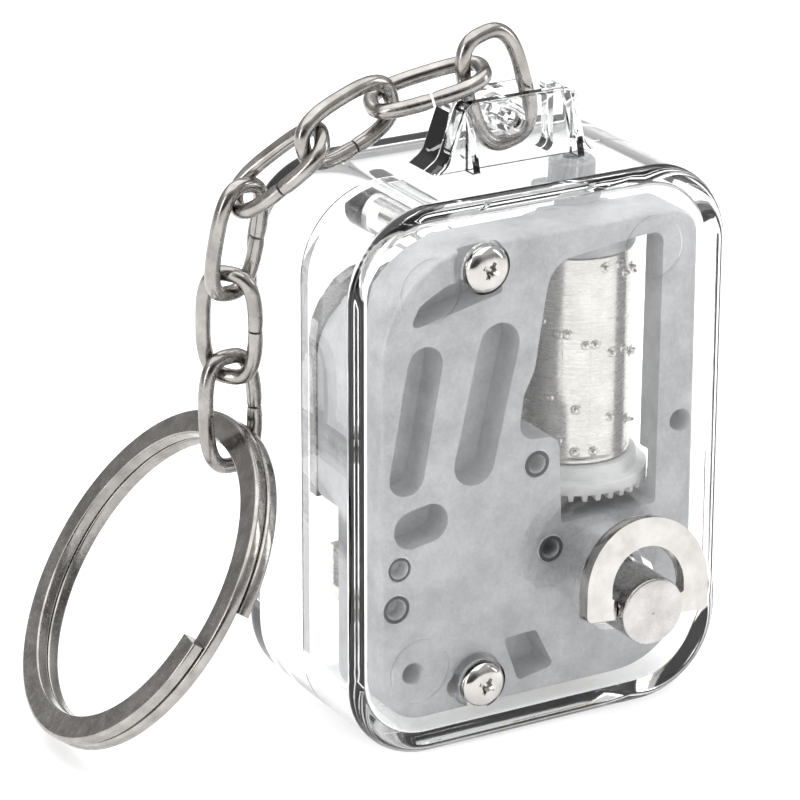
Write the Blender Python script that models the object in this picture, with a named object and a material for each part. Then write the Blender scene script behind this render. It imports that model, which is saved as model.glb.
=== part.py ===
"""A miniature wind-up cylinder music box in a clear key-ring case, standing on the floor of its case.

The origin is the centre of the case's bottom face. +Z is up, the front face looks along -Y, X is to the right.
Lengths are written in millimetres and turned into metres by MM.
"""

import math

import bmesh
import bpy
from mathutils import Matrix, Vector

MM = 0.001
FIT = 0.06  # clearance between pieces that touch

# Case
CASE_W, CASE_H, CASE_R = 31.6, 42.4, 6.6
FRONT_Y, PARTING_Y, BACK_Y = -8.8, -1.2, 8.8
WALL = 1.4
FRONT_FILLET, BACK_FILLET = 0.9, 2.2

# Lug at the top of the case
LUG_X, LUG_TOP, LUG_HALF_TOP, LUG_HALF_BASE = 0.9, CASE_H + 5.0, 5.4, 7.6
LUG_FRONT, LUG_BACK = -3.4, 1.2
POST_R, POST_HOLE_R, POST_Z = 1.2, 0.6, LUG_TOP - 1.8
SLOT_HALF = 0.85

# The two long screws that hold front shell, bedplate and back shell together
CASE_SCREWS = (("upper", -4.9, 37.1), ("lower", -4.9, 4.7))
CASE_POST_R, CASE_SCREW_R, SINK = 1.75, 0.68, 0.5

# Bedplate
PLATE_X0, PLATE_X1, PLATE_Z0, PLATE_Z1 = -12.9, 13.7, 2.6, 38.6
PLATE_FRONT, PLATE_BACK = -7.3, -3.0
LAND_BACK = 0.6
RECESS = 2.6
COMB_SCREWS = (("upper", -4.1, 30.9), ("lower", -6.1, 23.2))
GOVERNOR_SCREWS = (("upper", -10.3, 15.6), ("lower", -6.6, 4.5))
BLIND_BOSSES = ((-11.5, 14.9), (-11.75, 11.8))

# Pinned cylinder
CYL_X, CYL_Y = 6.7, -1.47
CYL_R, CYL_WALL = 4.3, 0.4
CYL_Z0, CYL_Z1 = 19.15, 35.3
PIN_R, PIN_HEIGHT = 0.16, 0.34
NOTES, NOTE_PITCH, FIRST_NOTE_Z, PINS = 18, 0.84, 20.2, 40
AXLE_R = 0.6

# Holes right through the bedplate: x, z and radius
THROUGH_HOLES = (
    (-9.9, 30.9, 0.75), (-11.3, 22.6, 0.75), (-4.1, 30.9, 0.75), (-6.1, 23.2, 0.75), (0.05, 20.9, 0.6),
    (1.35, 13.9, 0.6), (12.5, 21.9, 0.75), (-10.3, 6.3, 0.75), (-6.6, 4.5, 0.7), (-4.9, 37.1, 0.8), (-4.9, 4.7, 0.8),
)

# Gear train
PITCH = 0.942
SHAFT_X, SHAFT_Z = 6.7, 9.9
BARREL_TEETH, CROWN_TEETH, PINION_TEETH, WHEEL_TEETH = 46, 34, 10, 24
TOOTH_DEPTH = 0.62
BARREL_GEAR_Y, BARREL_GEAR_T = 3.73, 0.6
DRUM_R, DRUM_Y0, DRUM_Y1 = 5.0, -1.9, 3.3
GOVERNOR_Y, WHEEL_Y = 3.73, 4.8
WORM_X, WORM_Z0, WORM_Z1 = -6.35, 7.1, 17.3
THREAD_Z0, THREAD_Z1 = 8.68, 12.6
WHEEL_X = SHAFT_X - (BARREL_TEETH + PINION_TEETH) * PITCH / (2 * math.pi)

# Winding shaft and its ring
SHAFT_R, SHAFT_END_Y, BAIL_Y = 2.6, -13.8, -12.5
BAIL_LEAN, SHAFT_TURN = 9.0, 6.0

# Chain and key ring
WIRE_R, LINK_L, LINK_W = 0.6, 8.4, 4.1
FIRST_LINK_L, FIRST_LINK_W, FIRST_LINK_TILT = 8.5, 4.7, 16.0
OVAL = 0.7  # 1 is a plain ellipse, smaller is squarer
LINK_GAP = 0.36
RING_R, RING_RADIAL, RING_AXIAL = 12.4, 2.0, 1.0
SIDE_X = -CASE_W / 2
CHAIN_ROUTE = (
    (SIDE_X + 8.0, 0.9, CASE_H + 5.0),
    (SIDE_X + 3.0, 0.45, CASE_H + 3.5),
    (SIDE_X - 2.4, 2.65, CASE_H - 0.85),
    (SIDE_X - 3.4, 4.35, CASE_H - 7.6),
    (SIDE_X - 2.9, 4.8, CASE_H - 14.3),
    (SIDE_X - 2.7, 4.75, CASE_H - 21.4),
)
LINK_ROLLS = (56.5, -36.0, 49.0, -48.0, 19.0, -32.0)
RING_NORMAL = (-0.815, 0.08, 0.573)


def start_clean():
    for obj in list(bpy.data.objects):
        bpy.data.objects.remove(obj, do_unlink=True)
    for name, hidden in (("cylinder_music_box", False), ("cutters", True)):
        collection = bpy.data.collections.new(name)
        collection.hide_render = hidden
        bpy.context.scene.collection.children.link(collection)


def material(name, color, roughness, metallic, transmission=0.0):
    made = bpy.data.materials.new(name)
    made.use_nodes = True
    shader = made.node_tree.nodes["Principled BSDF"]
    shader.inputs["Base Color"].default_value = (*color, 1.0)
    shader.inputs["Roughness"].default_value = roughness
    shader.inputs["Metallic"].default_value = metallic
    shader.inputs["Transmission Weight"].default_value = transmission
    made.diffuse_color = (*color, 1.0)
    return made


def make_materials():
    return {
        "clear": material("clear_plastic", (0.95, 0.97, 0.98), 0.03, 0.0, 1.0),
        "zinc": material("die_cast_zinc", (0.50, 0.52, 0.54), 0.5, 0.85),
        "nickel": material("nickel_plate", (0.66, 0.64, 0.60), 0.2, 1.0),
        "tube": material("satin_nickel", (0.62, 0.60, 0.57), 0.34, 1.0),
        "steel": material("spring_steel", (0.38, 0.37, 0.36), 0.3, 1.0),
        "brass": material("brass", (0.72, 0.55, 0.26), 0.3, 1.0),
        "nylon": material("white_nylon", (0.86, 0.86, 0.83), 0.45, 0.0),
    }


def add(name, mesh, finish, collection="cylinder_music_box", smooth=35.0):
    obj = bpy.data.objects.new(name, mesh)
    bpy.data.collections[collection].objects.link(obj)
    if finish:
        mesh.materials.clear()
        mesh.materials.append(finish)
    mesh.shade_smooth()
    mesh.set_sharp_from_angle(angle=math.radians(smooth))
    return obj


def mesh_of(maker, name="shape"):
    """A mesh filled by maker(bm), which works in millimetres."""
    bm = bmesh.new()
    maker(bm)
    bmesh.ops.scale(bm, vec=(MM, MM, MM), verts=bm.verts)
    bmesh.ops.recalc_face_normals(bm, faces=bm.faces)
    mesh = bpy.data.meshes.new(name)
    bm.to_mesh(mesh)
    bm.free()
    return mesh


AXIS_TURN = {
    "X": Matrix.Rotation(math.pi / 2, 4, "Y"),
    "Y": Matrix.Rotation(math.pi / 2, 4, "X"),
    "Z": Matrix.Identity(4),
}


def cylinder(bm, centre, axis, r, length, sides=32, r2=None):
    """A cylinder or cone along a named axis, centred on a point."""
    turn = Matrix.Translation(centre) @ AXIS_TURN[axis]
    return bmesh.ops.create_cone(bm, cap_ends=True, segments=sides, radius1=r, radius2=r if r2 is None else r2,
                                 depth=length, matrix=turn)["verts"]


def box(bm, x0, x1, y0, y1, z0, z1):
    size = Matrix.Diagonal((x1 - x0, y1 - y0, z1 - z0, 1.0))
    middle = Matrix.Translation(((x0 + x1) / 2, (y0 + y1) / 2, (z0 + z1) / 2))
    return bmesh.ops.create_cube(bm, size=1.0, matrix=middle @ size)["verts"]


def arc(cx, cz, r, start, end, steps=6):
    """Points on an arc in the XZ plane, angles in degrees from +X towards +Z."""
    return [
        (cx + r * math.cos(math.radians(start + (end - start) * i / steps)),
         cz + r * math.sin(math.radians(start + (end - start) * i / steps)))
        for i in range(steps + 1)
    ]


def rounded_rect(x0, x1, z0, z1, radii, steps=6):
    """An outline with its own radius at each corner: top right, top left, bottom left, bottom right."""
    tr, tl, bl, br = radii
    return (arc(x1 - tr, z1 - tr, tr, 0, 90, steps) + arc(x0 + tl, z1 - tl, tl, 90, 180, steps)
            + arc(x0 + bl, z0 + bl, bl, 180, 270, steps) + arc(x1 - br, z0 + br, br, 270, 360, steps))


def capsule(x0, z0, x1, z1, r, steps=6):
    """A slot outline with round ends between two points."""
    turn = math.degrees(math.atan2(z1 - z0, x1 - x0))
    return arc(x1, z1, r, turn - 90, turn + 90, steps) + arc(x0, z0, r, turn + 90, turn + 270, steps)


def slab(bm, outline, y0, y1):
    """A prism from an XZ outline between two depths."""
    near = [bm.verts.new((x, y0, z)) for x, z in outline]
    face = bm.faces.new(near)
    made = bmesh.ops.extrude_face_region(bm, geom=[face])
    far = [v for v in made["geom"] if isinstance(v, bmesh.types.BMVert)]
    for v in far:
        v.co.y = y1
    return near, far


def round_edge(bm, verts, width, segments):
    chosen = set(verts)
    edges = [e for e in bm.edges if e.verts[0] in chosen and e.verts[1] in chosen]
    bmesh.ops.bevel(bm, geom=edges, offset=width, segments=segments, profile=0.5, affect="EDGES")


def boolean(obj, maker, operation="DIFFERENCE"):
    """Cuts or joins shapes made in millimetres, and keeps the cutter in its own collection."""
    cutter = add(obj.name + "_" + operation.lower(), mesh_of(maker), None, "cutters")
    cutter.hide_render = True
    cutter.display_type = "WIRE"
    modifier = obj.modifiers.new(operation.lower(), "BOOLEAN")
    modifier.operation = operation
    modifier.object = cutter
    modifier.solver = "EXACT"
    modifier.use_self = True
    return obj


def wire(name, points, radius, finish, cyclic=True, resolution=2):
    curve = bpy.data.curves.new(name, "CURVE")
    curve.dimensions = "3D"
    curve.bevel_depth = radius * MM
    curve.bevel_resolution = resolution
    curve.use_fill_caps = not cyclic
    spline = curve.splines.new("POLY")
    spline.points.add(len(points) - 1)
    for point, at in zip(spline.points, points):
        point.co = (*(Vector(at) * MM), 1.0)
    spline.use_cyclic_u = cyclic
    curve.materials.append(finish)
    obj = bpy.data.objects.new(name, curve)
    bpy.data.collections["cylinder_music_box"].objects.link(obj)
    return obj


def case_outline(inset, steps):
    half, r = CASE_W / 2 - inset, CASE_R - inset
    return rounded_rect(-half, half, inset, CASE_H - inset, (r, r, r, r), steps)


def shell_block(bm, open_y, closed_y, inset, fillet, segments):
    near, far = slab(bm, case_outline(inset, 6), open_y, closed_y)
    round_edge(bm, far, fillet, segments)


def lug_outline():
    left, right = LUG_X - LUG_HALF_BASE, LUG_X + LUG_HALF_BASE
    return [(left, CASE_H - 0.7), (right, CASE_H - 0.7), (LUG_X + LUG_HALF_TOP + 0.5, LUG_TOP - 1.6),
            *arc(LUG_X + LUG_HALF_TOP - 1.0, LUG_TOP - 1.4, 1.4, 0, 90, 4),
            *arc(LUG_X - LUG_HALF_TOP + 1.0, LUG_TOP - 1.4, 1.4, 90, 180, 4),
            (LUG_X - LUG_HALF_TOP - 0.5, LUG_TOP - 1.6)]


def case_shell(name, open_y, closed_y, fillet, lug_y, finish):
    """One half of the clear case with its half of the lug."""
    side = 1 if closed_y > open_y else -1
    start = open_y + side * FIT
    obj = add(name, mesh_of(lambda bm: shell_block(bm, start, closed_y, 0.0, fillet, 4)), finish, smooth=30.0)
    boolean(obj, lambda bm: slab(bm, lug_outline(), start, lug_y), "UNION")

    def hollow(bm):
        shell_block(bm, start - side, closed_y - side * WALL, WALL, max(fillet - 0.5, 0.4), 2)

    boolean(obj, hollow)
    return obj


def make_front_shell(mats):
    obj = case_shell("front_shell", PARTING_Y, FRONT_Y, FRONT_FILLET, LUG_FRONT, mats["clear"])

    def lug_post(bm):
        cylinder(bm, (LUG_X, (LUG_FRONT + PARTING_Y + SLOT_HALF) / 2, POST_Z), "Y", POST_R,
                 PARTING_Y + SLOT_HALF - LUG_FRONT - 0.2, 16)

    def openings(bm):
        cylinder(bm, (SHAFT_X, FRONT_Y, SHAFT_Z), "Y", SHAFT_R + 0.7, 6.0, 32)
        for _, x, z in CASE_SCREWS:
            cylinder(bm, (x, FRONT_Y, z), "Y", CASE_SCREW_R + 0.2, 6.0, 16)
            cylinder(bm, (x, FRONT_Y, z), "Y", 1.95, 2 * SINK, 24)

    def slot(bm):
        box(bm, LUG_X - 3.6, LUG_X + 3.6, PARTING_Y - SLOT_HALF, PARTING_Y + 2, POST_Z - 2.9, LUG_TOP + 1)

    boolean(obj, slot)
    boolean(obj, lug_post, "UNION")
    boolean(obj, openings)
    boolean(obj, lambda bm: cylinder(bm, (LUG_X, LUG_FRONT, POST_Z), "Y", POST_HOLE_R, 12.0, 16))
    return obj


def make_back_shell(mats):
    obj = case_shell("back_shell", PARTING_Y, BACK_Y, BACK_FILLET, LUG_BACK, mats["clear"])

    def posts(bm):
        start = PARTING_Y + FIT
        for _, x, z in CASE_SCREWS:
            cylinder(bm, (x, (start + BACK_Y - WALL / 2) / 2, z), "Y", CASE_POST_R, BACK_Y - WALL / 2 - start, 20)

    def openings(bm):
        for _, x, z in CASE_SCREWS:
            cylinder(bm, (x, 1.5, z), "Y", CASE_SCREW_R + FIT, 7.0, 14)
        cylinder(bm, (LUG_X, PARTING_Y + 1.0, POST_Z), "Y", POST_R + FIT, 2.5, 20)
        cylinder(bm, (LUG_X, PARTING_Y, POST_Z), "Y", POST_HOLE_R, 12.0, 16)

    def slot(bm):
        box(bm, LUG_X - 3.6, LUG_X + 3.6, PARTING_Y - 2, PARTING_Y + SLOT_HALF, POST_Z - 2.9, LUG_TOP + 1)

    boolean(obj, slot)
    boolean(obj, posts, "UNION")
    boolean(obj, openings)
    return obj


def plate_outline():
    return rounded_rect(PLATE_X0, PLATE_X1, PLATE_Z0, PLATE_Z1, (2.2, 8.0, 3.5, 6.4), 5)


def window_outline():
    """The opening that the pinned cylinder dips into."""
    return [(2.27, 15.7), (2.0, 21.6), *arc(0.9, 21.6, 1.1, 0, 80, 3), *arc(-0.1, 24.2, 1.35, 260, 180, 3),
            (-1.1, 26.4), (-0.2, 28.2), (0.6, 33.3), *arc(2.9, 34.2, 2.2, 160, 100, 3), (8.2, 37.0),
            *arc(9.75, 36.2, 0.9, 80, 0, 3), (10.6, 28.0), (10.55, 20.0), (10.5, 15.7)]


def make_bedplate(mats):
    def body(bm):
        near, far = slab(bm, plate_outline(), PLATE_FRONT, PLATE_BACK)
        round_edge(bm, near, 0.3, 2)

    obj = add("bedplate", mesh_of(body), mats["zinc"])

    def raised(bm):
        slab(bm, rounded_rect(PLATE_X0 + 0.15, -3.2, 17.6, 33.6, (1.0, 4.6, 1.4, 1.0), 5), PLATE_BACK - 1, LAND_BACK)
        slab(bm, rounded_rect(CYL_X - 2.3, CYL_X + 2.3, 37.0, PLATE_Z1 - 0.02, (0.3, 0.3, 0.3, 0.3), 1),
             PLATE_BACK - 1, CYL_Y + 1.9)
        cylinder(bm, (CYL_X, CYL_Y, 38.9), "Z", 1.75, 3.4, 24)

    def lower_bearing(bm):
        box(bm, CYL_X - 1.7, CYL_X + 1.7, PLATE_BACK - 1, CYL_Y + 1.5, 15.15, 15.85)

    def window(bm):
        slab(bm, window_outline(), PLATE_FRONT - 1, PLATE_BACK + 1)

    def gear_pocket(bm):
        cylinder(bm, (CYL_X, CYL_Y, 17.75), "Z", 6.0, 3.7, 40)

    def cylinder_pocket(bm):
        cylinder(bm, (CYL_X, CYL_Y, 28.2), "Z", 5.05, 17.6, 40)

    def thin_right_wall(bm):
        box(bm, 10.3, PLATE_X1 + 1, -5.0, PLATE_BACK + 1, 16.6, 36.2)

    def recesses(bm):
        depth = (PLATE_FRONT - 1, PLATE_FRONT + RECESS)
        slab(bm, capsule(-9.35, 30.2, -10.85, 21.9, 1.45), *depth)
        slab(bm, capsule(-3.2, 30.7, -5.2, 21.9, 1.7), *depth)
        slab(bm, [(-10.6, 33.1), (-3.1, 34.7), (-3.1, 35.3), (-5.6, 36.1), (-7.6, 36.0), (-9.6, 34.9)], *depth)
        slab(bm, capsule(-10.4, 17.75, -8.9, 18.0, 1.5), *depth)
        slab(bm, [(-2.5, 7.5), (0.2, 7.55), (1.8, 4.4), (-1.3, 3.8)], *depth)

    def holes(bm):
        for x, z, r in THROUGH_HOLES:
            cylinder(bm, (x, -3.0, z), "Y", r, 14.0, 12)
        cylinder(bm, (SHAFT_X, PLATE_FRONT, SHAFT_Z), "Y", SHAFT_R + 0.2, 12.0, 32)
        for x, z in BLIND_BOSSES:
            cylinder(bm, (x, PLATE_FRONT, z), "Y", 0.75, 2.0, 12)
        cylinder(bm, (GOVERNOR_SCREWS[0][1], PLATE_BACK, GOVERNOR_SCREWS[0][2]), "Y", 0.68, 6.0, 12)
        cylinder(bm, (WHEEL_X, 0.0, SHAFT_Z), "Y", 0.5, 9.0, 12)
        cylinder(bm, (CYL_X, CYL_Y, 28.0), "Z", AXLE_R + 0.1, 40.0, 16)

    boolean(obj, raised, "UNION")
    boolean(obj, gear_pocket)
    boolean(obj, cylinder_pocket)
    boolean(obj, lower_bearing, "UNION")
    boolean(obj, window)
    boolean(obj, thin_right_wall)
    boolean(obj, recesses)
    boolean(obj, holes)
    return obj


def pin_places():
    """Note and angle of each pin: a short tune laid round the cylinder by a fixed rule."""
    return [((i * 7 + (i * i) % 5) % NOTES, i * 360.0 / PINS + (i % 3) * 2.0) for i in range(PINS)]


def make_cylinder(mats):
    def tube(bm):
        cylinder(bm, (0, 0, (CYL_Z0 + CYL_Z1) / 2), "Z", CYL_R, CYL_Z1 - CYL_Z0, 48)

    def bore(bm):
        cylinder(bm, (0, 0, (CYL_Z0 + CYL_Z1) / 2), "Z", CYL_R - CYL_WALL, CYL_Z1 - CYL_Z0 + 2, 48)

    def pins(bm):
        middle = CYL_R - 0.2 + (PIN_HEIGHT + 0.2) / 2
        for note, angle in pin_places():
            turn = Matrix.Rotation(math.radians(angle), 4, "Z")
            place = turn @ Matrix.Translation((middle, 0, FIRST_NOTE_Z + note * NOTE_PITCH)) @ AXIS_TURN["X"]
            bmesh.ops.create_cone(bm, cap_ends=True, segments=5, radius1=PIN_R, radius2=PIN_R,
                                  depth=PIN_HEIGHT + 0.2, matrix=place)

    obj = add("pinned_cylinder", mesh_of(tube), mats["tube"])
    boolean(obj, pins, "UNION")
    boolean(obj, bore)
    return on_axis([obj] + list(obj.modifiers[i].object for i in range(2)), (CYL_X, CYL_Y, 0))


def on_axis(objects, place):
    for obj in objects:
        obj.location = Vector(place) * MM
    return objects[0]


def toothed_outline(teeth, pitch_r, depth, root=0.34, tip=0.22):
    """Gear outline: straight-sided teeth whose widths are shares of the pitch."""
    points = []
    for i in range(teeth):
        for share, r in ((-root, -0.5), (-tip, 0.5), (tip, 0.5), (root, -0.5)):
            angle = 2 * math.pi * (i + share) / teeth
            points.append(((pitch_r + r * depth) * math.cos(angle), (pitch_r + r * depth) * math.sin(angle)))
    return points


def gear_shape(bm, teeth, y0, y1, root=0.3, tip=0.17, depth=TOOTH_DEPTH):
    return slab(bm, toothed_outline(teeth, teeth * PITCH / (2 * math.pi), depth, root, tip), y0, y1)


def make_cylinder_gear(mats):
    """White crown wheel: its teeth point down, towards the spring barrel's gear."""
    inner, outer = 4.75, 5.65

    def hub(bm):
        cylinder(bm, (0, 0, 18.4), "Z", 4.85, 1.36, 44)
        cylinder(bm, (0, 0, 17.62), "Z", outer, 0.88, 44)
        cylinder(bm, (0, 0, 19.6), "Z", 1.6, 1.2, 20)

    def teeth(bm):
        for i in range(CROWN_TEETH):
            turn = Matrix.Rotation(2 * math.pi * (i + 0.5) / CROWN_TEETH, 4, "Z")
            made = box(bm, inner, outer - 0.02, -0.16, 0.16, 16.73, 17.2)
            bmesh.ops.transform(bm, matrix=turn, verts=made)

    obj = add("cylinder_gear", mesh_of(hub), mats["nylon"])
    boolean(obj, teeth, "UNION")
    boolean(obj, lambda bm: cylinder(bm, (0, 0, 18), "Z", AXLE_R + FIT, 8, 16))
    return on_axis([obj] + [m.object for m in obj.modifiers], (CYL_X, CYL_Y, 0))


def make_cylinder_cap(mats):
    obj = add("cylinder_end_cap", mesh_of(lambda bm: cylinder(bm, (0, 0, 36.0), "Z", 4.5, 1.2, 44)), mats["zinc"])
    boolean(obj, lambda bm: cylinder(bm, (0, 0, 35.0), "Z", CYL_R - CYL_WALL - FIT, 1.4, 36), "UNION")
    boolean(obj, lambda bm: cylinder(bm, (0, 0, 36), "Z", AXLE_R + FIT, 8, 16))
    return on_axis([obj] + [m.object for m in obj.modifiers], (CYL_X, CYL_Y, 0))


def make_cylinder_axle(mats):
    obj = add("cylinder_axle", mesh_of(lambda bm: cylinder(bm, (0, 0, 27.85), "Z", AXLE_R, 25.1, 20)), mats["steel"])
    return on_axis([obj], (CYL_X, CYL_Y, 0))


def make_comb(mats):
    """Steel comb: a slanted root line gives the low notes their longer teeth."""
    tip_x, y0, base_t, tooth_t = 2.05, LAND_BACK + FIT, 1.1, 0.5

    def root_x(z):
        return -0.9 - (z - 19.0) * 0.11

    def plate(bm):
        outline = [(PLATE_X0 + 0.2, 18.0), (root_x(19.2) - 0.3, 18.0), (root_x(19.2), 19.3), (root_x(35.0), 35.0),
                   (-7.4, 35.0), *arc(-8.2, 30.2, 4.5, 90, 180, 5)]
        slab(bm, outline, y0, y0 + base_t)

    def teeth(bm):
        for i in range(NOTES):
            z = FIRST_NOTE_Z + i * NOTE_PITCH
            box(bm, root_x(z) - 0.6, tip_x, y0 + 0.01, y0 + tooth_t, z - 0.29, z + 0.29)

    obj = add("comb", mesh_of(plate), mats["steel"])
    boolean(obj, teeth, "UNION")

    def holes(bm):
        for _, x, z in COMB_SCREWS:
            cylinder(bm, (x, y0, z), "Y", 0.95, 4, 16)

    return boolean(obj, holes)


def make_screw(name, x, y, z, head_r, head_h, shank_r, length, side, finish):
    def shank(bm):
        cylinder(bm, (x, y - side * (length / 2 - 0.1), z), "Y", shank_r, length + 0.2, 12)

    def head(bm):
        verts = cylinder(bm, (x, y + side * head_h / 2, z), "Y", head_r, head_h, 20)
        round_edge(bm, [v for v in verts if (v.co.y - y) * side > head_h / 2], head_h * 0.45, 1)

    def cross(bm):
        for w, d in ((head_r * 0.55, 0.16), (0.16, head_r * 0.55)):
            outer = y + side * (head_h + 0.5)
            inner = y + side * head_h * 0.4
            box(bm, x - w, x + w, min(outer, inner), max(outer, inner), z - d, z + d)

    obj = add(name, mesh_of(head), finish)
    boolean(obj, shank, "UNION")
    boolean(obj, cross)
    return obj


def make_screws(mats):
    bright, dark = mats["nickel"], mats["steel"]
    for label, x, z in CASE_SCREWS:
        make_screw(f"case_screw_{label}", x, FRONT_Y + SINK - FIT, z, 1.72, 1.15, CASE_SCREW_R, 12.8, -1, bright)
    for label, x, z in COMB_SCREWS:
        make_screw(f"comb_screw_{label}", x, LAND_BACK + FIT + 1.1 + FIT, z, 1.45, 0.8, 0.62, 5.4, 1, bright)
    for label, x, z in GOVERNOR_SCREWS:
        make_screw(f"governor_screw_{label}", x, -2.05, z, 0.95, 0.65, 0.55, 3.2, 1, dark)


def make_winding_shaft(mats):
    def body(bm):
        cylinder(bm, (0, (SHAFT_END_Y + DRUM_Y0 - 0.3) / 2, 0), "Y", SHAFT_R, DRUM_Y0 - 0.3 - SHAFT_END_Y, 36)

    def core(bm):
        cylinder(bm, (0, (DRUM_Y0 + 5.2) / 2 - 0.5, 0), "Y", 1.5, 5.2 - DRUM_Y0 + 1.0, 24)

    def groove(bm):
        cylinder(bm, (0, 4.75, 0), "Y", 2.5, 0.4, 24)

    obj = add("winding_shaft", mesh_of(body), mats["nickel"])
    boolean(obj, core, "UNION")
    boolean(obj, lambda bm: cylinder(bm, (0, BAIL_Y, 0), "X", 0.62, 8, 16))
    for part in [obj] + [m.object for m in obj.modifiers]:
        part.rotation_euler.y = math.radians(SHAFT_TURN)
    return on_axis([obj] + [m.object for m in obj.modifiers], (SHAFT_X, 0, SHAFT_Z))


def make_bail(mats):
    """Flat D-shaped ring in its own XZ plane, pivoting about the X axis through the shaft's cross hole."""
    outer, inner, centre, foot = SHAFT_R + 2.7, SHAFT_R + 0.55, 1.45, -0.7

    def ring(bm):
        outline = ([(outer, foot)] + arc(0, centre, outer, 0, 180, 14) + [(-outer, foot), (-SHAFT_R - 0.15, foot),
                   (-SHAFT_R - 0.15, 0.75), (-inner, 0.9)] + arc(0, centre, inner, 180, 0, 12)
                   + [(inner, 0.9), (SHAFT_R + 0.15, 0.75), (SHAFT_R + 0.15, foot)])
        slab(bm, outline, -0.55, 0.55)

    def pivots(bm):
        for side in (-1, 1):
            cylinder(bm, (side * (SHAFT_R - 0.3), 0, 0), "X", 0.5, 1.8, 12)

    obj = add("key_ring_bail", mesh_of(ring), mats["nickel"])
    boolean(obj, pivots, "UNION")
    for part in [obj] + [m.object for m in obj.modifiers]:
        part.rotation_euler = (math.radians(-BAIL_LEAN), math.radians(SHAFT_TURN), 0)
    return on_axis([obj] + [m.object for m in obj.modifiers], (SHAFT_X, BAIL_Y, SHAFT_Z))


def make_barrel(mats):
    def drum(bm):
        cylinder(bm, (0, (DRUM_Y0 + DRUM_Y1) / 2, 0), "Y", DRUM_R, DRUM_Y1 - DRUM_Y0, 40)

    def hollow(bm):
        cylinder(bm, (0, DRUM_Y0 + 0.5 + 5, 0), "Y", DRUM_R - 0.4, 10.0, 40)

    drum_obj = add("spring_barrel", mesh_of(drum), mats["steel"])
    boolean(drum_obj, hollow)
    boolean(drum_obj, lambda bm: cylinder(bm, (0, 0, 0), "Y", 1.5 + 0.15, 12, 24))

    def gear(bm):
        gear_shape(bm, BARREL_TEETH, BARREL_GEAR_Y - BARREL_GEAR_T / 2, BARREL_GEAR_Y + BARREL_GEAR_T / 2)

    gear_obj = add("barrel_gear", mesh_of(gear), mats["brass"])
    boolean(gear_obj, lambda bm: cylinder(bm, (0, 0, 0), "Y", 1.5 + 0.15, 12, 24))
    for obj in (drum_obj, gear_obj):
        on_axis([obj] + [m.object for m in obj.modifiers], (SHAFT_X, 0, SHAFT_Z))


def spiral_points(r0, r1, turns, steps):
    return [((r0 + (r1 - r0) * i / steps) * math.cos(2 * math.pi * turns * i / steps),
             (r0 + (r1 - r0) * i / steps) * math.sin(2 * math.pi * turns * i / steps)) for i in range(steps + 1)]


def make_mainspring(mats):
    half = 0.11
    steps = 96

    def ribbon(bm):
        out = spiral_points(2.0 + half, 4.3 + half, 5.5, steps)
        back = spiral_points(2.0 - half, 4.3 - half, 5.5, steps)[::-1]
        slab(bm, out + back, DRUM_Y0 + 0.7, DRUM_Y1 - 0.1)

    obj = add("mainspring", mesh_of(ribbon), mats["steel"])
    return on_axis([obj], (SHAFT_X, 0, SHAFT_Z))


def make_clutch_spring(mats):
    """Wrap spring round the shaft, just behind the bedplate: it lets the shaft turn one way only."""
    steps, turns, r = 28, 2.0, SHAFT_R + 0.36
    points = []
    for i in range(steps + 1):
        angle = 2 * math.pi * turns * i / steps
        points.append((SHAFT_X + r * math.cos(angle), PLATE_BACK + 0.22 + 0.32 * turns * i / steps,
                       SHAFT_Z + r * math.sin(angle)))
    return wire("clutch_spring", points, 0.13, mats["steel"], cyclic=False)


def make_shaft_clip(mats):
    """Retaining clip on the shaft's tail, behind the barrel gear."""
    def ring(bm):
        slab(bm, arc(0, 0, 2.4, 130, 410, 16) + arc(0, 0, 1.56, 410, 130, 16), 4.3, 4.8)

    obj = add("shaft_clip", mesh_of(ring), mats["steel"])
    return on_axis([obj], (SHAFT_X, 0, SHAFT_Z))


def make_governor(mats):
    turn = math.pi / PINION_TEETH

    def pinion(bm):
        gear_shape(bm, PINION_TEETH, GOVERNOR_Y - 0.5, WHEEL_Y - 0.2, root=0.26, tip=0.14)

    def wheel(bm):
        gear_shape(bm, WHEEL_TEETH, WHEEL_Y - 0.3, WHEEL_Y + 0.3, root=0.26, tip=0.14)

    obj = add("governor_wheel", mesh_of(wheel), mats["nylon"])
    boolean(obj, pinion, "UNION")
    boolean(obj, lambda bm: cylinder(bm, (0, 0, 0), "Y", 0.4 + FIT, 20, 12))
    for part in [obj] + [m.object for m in obj.modifiers]:
        part.location = Vector((WHEEL_X, 0, SHAFT_Z)) * MM
    for part in [obj, obj.modifiers[0].object]:
        part.rotation_euler.y = turn

    axle = add("governor_axle", mesh_of(lambda bm: cylinder(bm, (0, 1.8, 0), "Y", 0.4, 9.6, 12)), mats["steel"])
    on_axis([axle], (WHEEL_X, 0, SHAFT_Z))


def thread(bm, r_in, r_out, z0, z1, pitch, steps=12):
    """A helical ridge with a trapezoid section round the Z axis."""
    turns = (z1 - z0) / pitch
    count = int(turns * steps)
    rings = []
    for i in range(count + 1):
        angle = 2 * math.pi * i / steps
        z = z0 + pitch * i / steps
        section = ((r_in, z - 0.24), (r_out, z - 0.1), (r_out, z + 0.1), (r_in, z + 0.24))
        rings.append([bm.verts.new((r * math.cos(angle), r * math.sin(angle), h)) for r, h in section])
    for a, b in zip(rings, rings[1:]):
        for j in range(4):
            bm.faces.new((a[j], a[(j + 1) % 4], b[(j + 1) % 4], b[j]))
    bm.faces.new(rings[0])
    bm.faces.new(rings[-1][::-1])


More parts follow.
